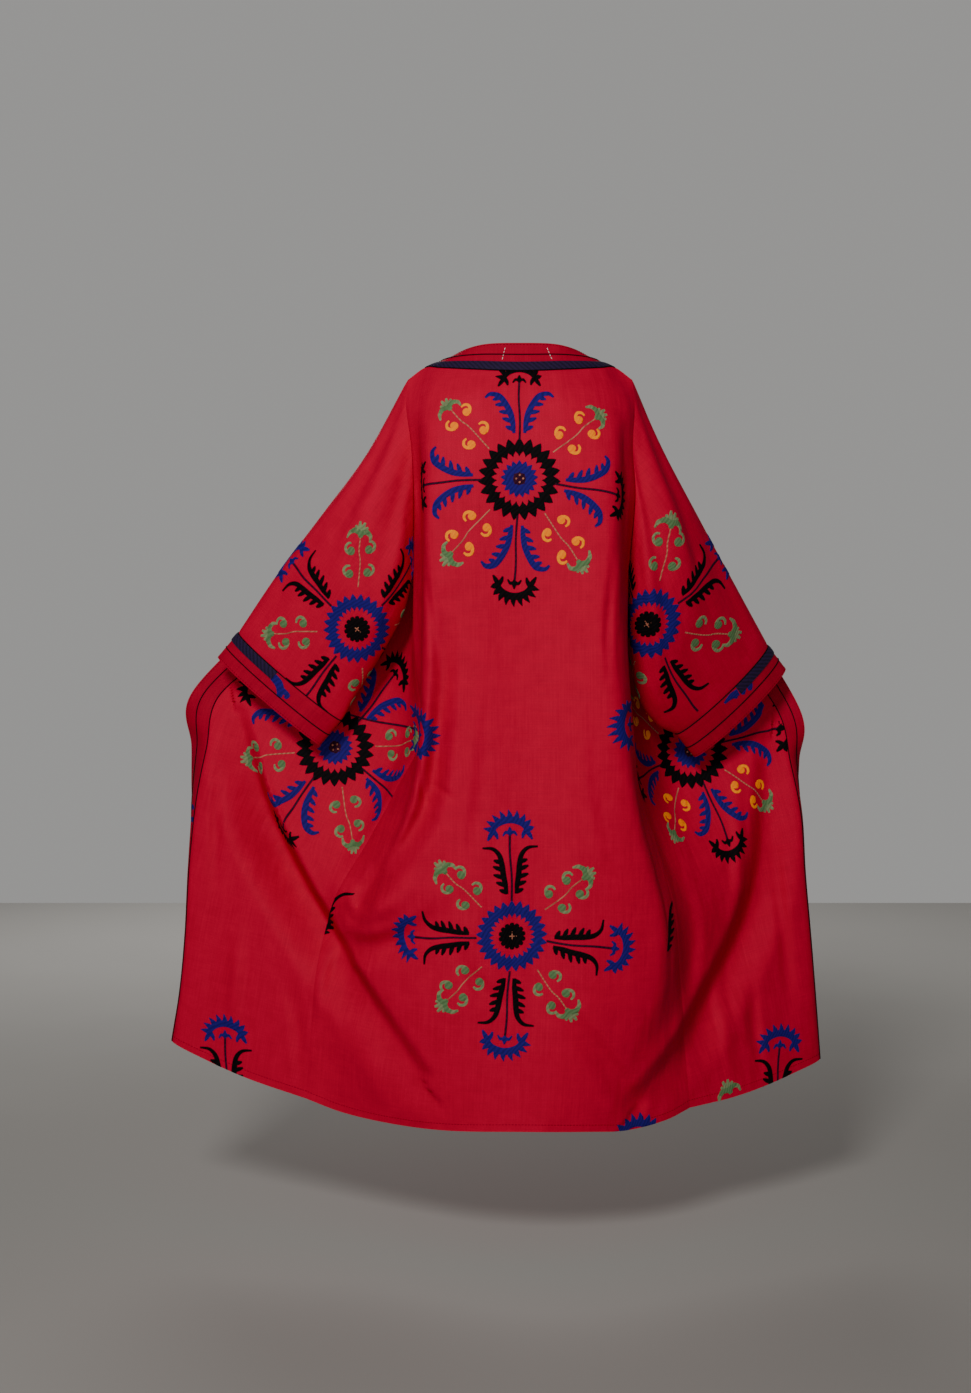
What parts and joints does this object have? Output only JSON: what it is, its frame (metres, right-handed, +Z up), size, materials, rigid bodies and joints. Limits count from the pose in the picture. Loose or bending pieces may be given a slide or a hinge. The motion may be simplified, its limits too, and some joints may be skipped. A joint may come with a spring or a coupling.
{
  "type": "kimono robe",
  "caption": "Long open robe of kimono cut with wide sleeves and a border band round neck, fronts and cuffs, hanging as worn with the fronts drawn out to the sides.",
  "frame": {"origin": "middle of the neck at shoulder height, where the wearer's shoulders hold the robe", "axes": "+Z up along the hanging robe, -Y the way the wearer faces, +X towards the wearer's left sleeve"},
  "size_m": [1.188, 0.4093, 1.3532],
  "materials": {
    "red_cloth": "slubby silk and cotton cloth with a soft sheen",
    "band_cloth": "the same cloth, pressed and piped",
    "navy_braid": "flat woven braid",
    "black_thread": "chain-stitched silk thread",
    "blue_thread": "chain-stitched silk thread",
    "green_thread": "chain-stitched silk thread",
    "orange_thread": "chain-stitched silk thread",
    "white_thread": "white sewing thread",
    "stem_thread": "chain-stitched silk thread"
  },
  "bodies": {
    "root": {"back_panel": "red_cloth", "front_panel_left": "red_cloth", "front_panel_right": "red_cloth", "sleeve_left": "red_cloth", "sleeve_right": "red_cloth", "neck_band": "band_cloth", "front_band_left": "band_cloth", "front_band_right": "band_cloth", "cuff_band_left": "band_cloth", "cuff_band_right": "band_cloth", "neck_braid": "navy_braid", "cuff_braid_left": "navy_braid", "cuff_braid_right": "navy_braid"}
  },
  "joints": []
}
